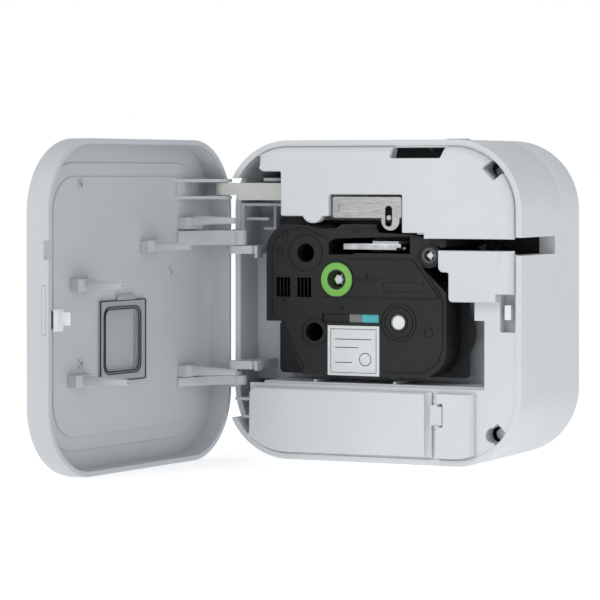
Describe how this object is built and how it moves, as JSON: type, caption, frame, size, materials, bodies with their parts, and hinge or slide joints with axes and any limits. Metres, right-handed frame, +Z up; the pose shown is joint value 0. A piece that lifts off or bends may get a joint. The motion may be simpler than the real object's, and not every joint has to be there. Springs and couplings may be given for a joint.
{
  "type": "label maker",
  "caption": "Cube-shaped white label maker with its hinged front door open on a loaded tape cassette, a raised cover over the print mechanism and a lift-off battery cover.",
  "frame": {"origin": "middle of the housing's flat underside", "axes": "+Z up, -Y towards the user, out of the front that the door covers, +X towards the tape slot"},
  "size_m": [0.1577, 0.1964, 0.1336],
  "materials": {
    "shell_white": "fine matt white",
    "inner_white": "matt off-white",
    "door_white": "fine matt white",
    "black_plastic": "fine black grain",
    "dark_grey_plastic": "matt",
    "grey_plastic": "matt",
    "white_nylon": "smooth",
    "ivory_nylon": "smooth ivory",
    "steel": "brushed",
    "aluminium": "satin",
    "ceramic": "glazed",
    "brass": "satin",
    "board_green": "solder mask",
    "chip_black": "matt",
    "rubber_grey": "matt",
    "spool_green": "satin",
    "film_teal": "smooth film",
    "tape_white": "wound tape",
    "window_clear": "clear",
    "light_green": "lens"
  },
  "bodies": {
    "housing": {"front_shell": "shell_white", "rear_shell": "shell_white", "front_panel": "shell_white", "upper_cover": "shell_white", "cutter_cover": "shell_white", "cassette_bay": "inner_white", "battery_bay": "inner_white", "hinge_brackets": "inner_white", "hinge_pins": "steel", "battery_latch_block": "shell_white", "battery_pack": "dark_grey_plastic", "battery_contacts": "brass", "head_heatsink": "aluminium", "thermal_head": "ceramic", "tape_guide": "black_plastic", "fixed_blade": "steel", "cutter_motor": "steel", "drive_motor": "steel", "main_board": "board_green", "board_chips": "chip_black", "dc_jack": "dark_grey_plastic", "usb_port": "steel", "tape_sensor": "black_plastic", "case_screws": "steel", "foot_pads": "rubber_grey", "status_light": "light_green"},
    "door": {"door_shell": "door_white", "window_frame": "black_plastic", "door_window": "window_clear", "pusher_posts": "door_white", "upper_hinge_arm": "door_white", "lower_hinge_arm": "door_white", "link_clevis": "door_white", "link_pin": "steel", "latch_hook": "white_nylon", "latch_pad": "black_plastic", "door_grip": "grey_plastic"},
    "link": {"cover_link": "ivory_nylon"},
    "holder": {"roller_holder": "black_plastic", "release_bracket": "steel"},
    "platen": {"platen_roller": "rubber_grey", "platen_shaft": "steel"},
    "cassette": {"cassette_top": "black_plastic", "cassette_base": "black_plastic", "cassette_label": "tape_white", "roll_core": "white_nylon"},
    "tape_supply": {"tape_roll": "tape_white"},
    "film_supply": {"film_spool": "film_teal"},
    "ribbon_supply": {"ribbon_spool": "black_plastic"},
    "ribbon_take_up": {"take_up_spool": "spool_green"},
    "outlet_roller": {"output_roller": "rubber_grey"},
    "pinion": {"motor_pinion": "white_nylon"},
    "idler": {"idler_gear": "white_nylon"},
    "take_up_drive": {"take_up_spindle": "white_nylon"},
    "tape_drive": {"drive_spindle": "white_nylon"},
    "battery_lid": {"battery_cover": "shell_white", "cover_latch": "shell_white"},
    "button": {"power_button": "grey_plastic"},
    "catch": {"latch_catch": "white_nylon"},
    "cutter": {"cutter_blade": "steel"}
  },
  "joints": [
    {"name": "door_hinge", "type": "hinge", "parent": "housing", "child": "door", "pos_m": [-0.0635, -0.0319, 0.0665], "axis": [0, 0, 1], "range_deg": [-14, 95.5]},
    {"name": "link_pivot", "type": "hinge", "parent": "door", "child": "link", "pos_m": [-0.067, -0.03699, 0.1126], "axis": [0, 0, 1], "range_deg": [-96, 14.5]},
    {"name": "holder_release", "type": "slide", "parent": "housing", "child": "holder", "axis": [0, 0, -1], "range_m": [-0.0004, 0.0023]},
    {"name": "platen_spin", "type": "hinge", "parent": "holder", "child": "platen", "pos_m": [0.0091, -0.0125, 0.101], "axis": [0, 1, 0], "continuous": true},
    {"name": "cassette_lift", "type": "slide", "parent": "housing", "child": "cassette", "axis": [0, 1, 0], "range_m": [-0.06, 0]},
    {"name": "tape_roll_spin", "type": "hinge", "parent": "cassette", "child": "tape_supply", "pos_m": [0.0121, -0.0125, 0.058], "axis": [0, 1, 0], "continuous": true},
    {"name": "film_spool_spin", "type": "hinge", "parent": "cassette", "child": "film_supply", "pos_m": [-0.0257, -0.0125, 0.0533], "axis": [0, 1, 0], "continuous": true},
    {"name": "ribbon_spool_spin", "type": "hinge", "parent": "cassette", "child": "ribbon_supply", "pos_m": [-0.0297, -0.0125, 0.0861], "axis": [0, 1, 0], "continuous": true},
    {"name": "take_up_spool_spin", "type": "hinge", "parent": "cassette", "child": "ribbon_take_up", "pos_m": [-0.0157, -0.0125, 0.0752], "axis": [0, 1, 0], "continuous": true},
    {"name": "output_roller_spin", "type": "hinge", "parent": "cassette", "child": "outlet_roller", "pos_m": [0.0259, -0.0125, 0.0856], "axis": [0, 1, 0], "continuous": true},
    {"name": "idler_spin", "type": "hinge", "parent": "housing", "child": "idler", "pos_m": [0.00495, 0.0145, 0.07766], "axis": [0, 1, 0], "continuous": true},
    {"name": "pinion_spin", "type": "hinge", "parent": "housing", "child": "pinion", "pos_m": [0.00281, 0.0145, 0.09513], "axis": [0, 1, 0], "continuous": true},
    {"name": "take_up_spindle_spin", "type": "hinge", "parent": "housing", "child": "take_up_drive", "pos_m": [-0.0157, 0.0095, 0.0752], "axis": [0, 1, 0], "continuous": true},
    {"name": "drive_spindle_spin", "type": "hinge", "parent": "housing", "child": "tape_drive", "pos_m": [0.0259, 0.0095, 0.0856], "axis": [0, 1, 0], "continuous": true},
    {"name": "battery_cover_lift", "type": "slide", "parent": "housing", "child": "battery_lid", "axis": [0, 1, 0], "range_m": [-0.03, 0]},
    {"name": "button_press", "type": "slide", "parent": "housing", "child": "button", "axis": [0, 0, -1], "range_m": [0, 0.0008], "stiffness_N_per_m": 700},
    {"name": "catch_slide", "type": "slide", "parent": "housing", "child": "catch", "axis": [1, 0, 0], "range_m": [0, 0.0005], "stiffness_N_per_m": 500},
    {"name": "blade_drop", "type": "slide", "parent": "housing", "child": "cutter", "axis": [0, 0, -1], "range_m": [0, 0.0072]}
  ],
  "couplings": [
    {"joint": "link_pivot", "follows": "door_hinge", "ratio": -1},
    {"joint": "holder_release", "follows": "door_hinge", "m_per_rad": 0.0013199},
    {"joint": "pinion_spin", "follows": "idler_spin", "ratio": -2.6667},
    {"joint": "take_up_spindle_spin", "follows": "idler_spin", "ratio": -1.6},
    {"joint": "drive_spindle_spin", "follows": "idler_spin", "ratio": -1.3333},
    {"joint": "take_up_spool_spin", "follows": "idler_spin", "ratio": -1.6},
    {"joint": "output_roller_spin", "follows": "idler_spin", "ratio": -1.3333}
  ]
}
